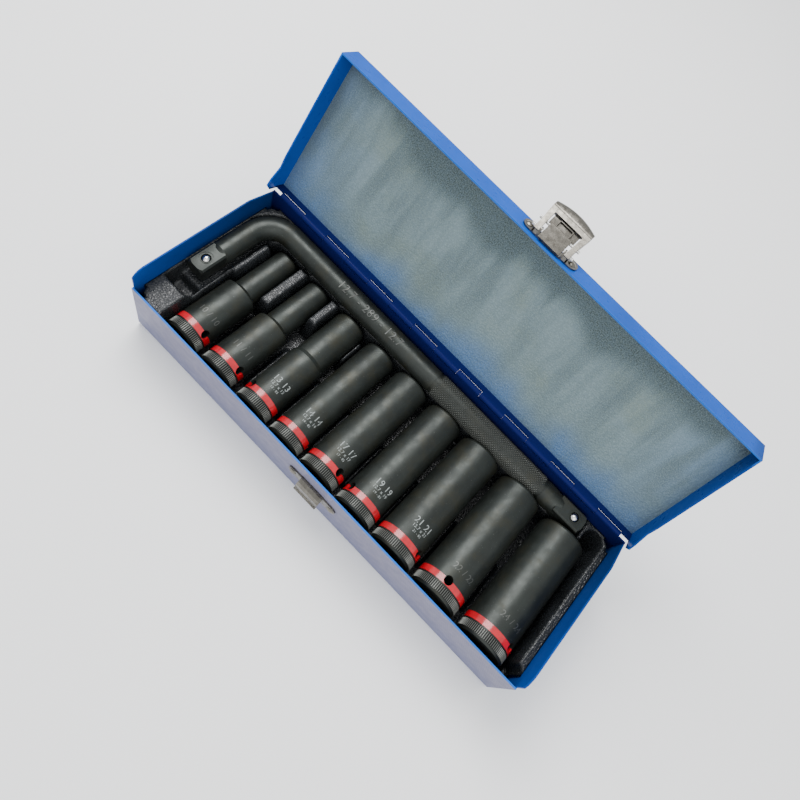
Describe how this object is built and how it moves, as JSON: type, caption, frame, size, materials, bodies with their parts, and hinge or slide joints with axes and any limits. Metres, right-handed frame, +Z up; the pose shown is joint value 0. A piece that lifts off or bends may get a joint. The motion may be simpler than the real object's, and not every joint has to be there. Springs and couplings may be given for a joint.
{
  "type": "deep impact socket set in case",
  "caption": "Deep impact sockets with red ring bands and an L-shaped knurled drive handle in a moulded tray, inside a hinged blue steel case with a toggle latch.",
  "frame": {"origin": "centre of the base's underside", "axes": "+X along the case to the viewer's right, +Y toward the hinge, +Z up"},
  "size_m": [0.3196, 0.1835, 0.1703],
  "materials": {
    "blue_steel": "satin enamel",
    "tray": "leather grain",
    "phosphate": "dark oiled phosphate",
    "red_band": "glossy",
    "nickel": "bright nickel plate",
    "bright": "bright"
  },
  "bodies": {
    "base": {"base_shell": "blue_steel", "hinge_pin": "bright", "tray_insert": "tray", "keeper_plate": "nickel", "keeper_rivets": "nickel"},
    "lid": {"lid_shell": "blue_steel", "latch_plate": "nickel", "latch_rivets": "nickel", "latch_pivot": "bright"},
    "lever": {"latch_lever": "nickel", "claw_pin": "bright"},
    "claw": {"latch_claw": "nickel"},
    "handle": {"handle_bar": "phosphate", "spring_short": "bright", "spring_long": "bright"},
    "short_ball": {"ball_short": "bright"},
    "long_ball": {"ball_long": "bright"},
    "deep_10": {"socket_10": "phosphate", "band_10": "red_band"},
    "deep_11": {"socket_11": "phosphate", "band_11": "red_band"},
    "deep_13": {"socket_13": "phosphate", "band_13": "red_band"},
    "deep_14": {"socket_14": "phosphate", "band_14": "red_band"},
    "deep_17": {"socket_17": "phosphate", "band_17": "red_band"},
    "deep_19": {"socket_19": "phosphate", "band_19": "red_band"},
    "deep_21": {"socket_21": "phosphate", "band_21": "red_band"},
    "deep_22": {"socket_22": "phosphate", "band_22": "red_band"},
    "deep_24": {"socket_24": "phosphate", "band_24": "red_band"}
  },
  "joints": [
    {"name": "lid_hinge", "type": "hinge", "parent": "base", "child": "lid", "pos_m": [0, 0.0545, 0.061], "axis": [1, 0, 0], "range_deg": [0, 116.2]},
    {"name": "lever_pivot", "type": "hinge", "parent": "lid", "child": "lever", "pos_m": [-0.0005, 0.10036, 0.16326], "axis": [1, 0, 0], "range_deg": [0, 135]},
    {"name": "claw_swing", "type": "hinge", "parent": "lever", "child": "claw", "pos_m": [-0.0005, 0.10619, 0.16469], "axis": [-1, 0, 0], "range_deg": [-100, 0]},
    {"name": "handle_lift", "type": "slide", "parent": "base", "child": "handle", "axis": [0, 0, 1], "range_m": [0, 0.09]},
    {"name": "short_ball_press", "type": "slide", "parent": "handle", "child": "short_ball", "axis": [0, 0, -1], "range_m": [0, 0.0012], "stiffness_N_per_m": 400, "springref_m": -0.001, "deforming": ["spring_short"]},
    {"name": "long_ball_press", "type": "slide", "parent": "handle", "child": "long_ball", "axis": [0, 0, -1], "range_m": [0, 0.0012], "stiffness_N_per_m": 400, "springref_m": -0.001, "deforming": ["spring_long"]},
    {"name": "socket_10_lift", "type": "slide", "parent": "base", "child": "deep_10", "axis": [0, 0, 1], "range_m": [0, 0.09]},
    {"name": "socket_11_lift", "type": "slide", "parent": "base", "child": "deep_11", "axis": [0, 0, 1], "range_m": [0, 0.09]},
    {"name": "socket_13_lift", "type": "slide", "parent": "base", "child": "deep_13", "axis": [0, 0, 1], "range_m": [0, 0.09]},
    {"name": "socket_14_lift", "type": "slide", "parent": "base", "child": "deep_14", "axis": [0, 0, 1], "range_m": [0, 0.09]},
    {"name": "socket_17_lift", "type": "slide", "parent": "base", "child": "deep_17", "axis": [0, 0, 1], "range_m": [0, 0.09]},
    {"name": "socket_19_lift", "type": "slide", "parent": "base", "child": "deep_19", "axis": [0, 0, 1], "range_m": [0, 0.09]},
    {"name": "socket_21_lift", "type": "slide", "parent": "base", "child": "deep_21", "axis": [0, 0, 1], "range_m": [0, 0.09]},
    {"name": "socket_22_lift", "type": "slide", "parent": "base", "child": "deep_22", "axis": [0, 0, 1], "range_m": [0, 0.09]},
    {"name": "socket_24_lift", "type": "slide", "parent": "base", "child": "deep_24", "axis": [0, 0, 1], "range_m": [0, 0.09]}
  ]
}
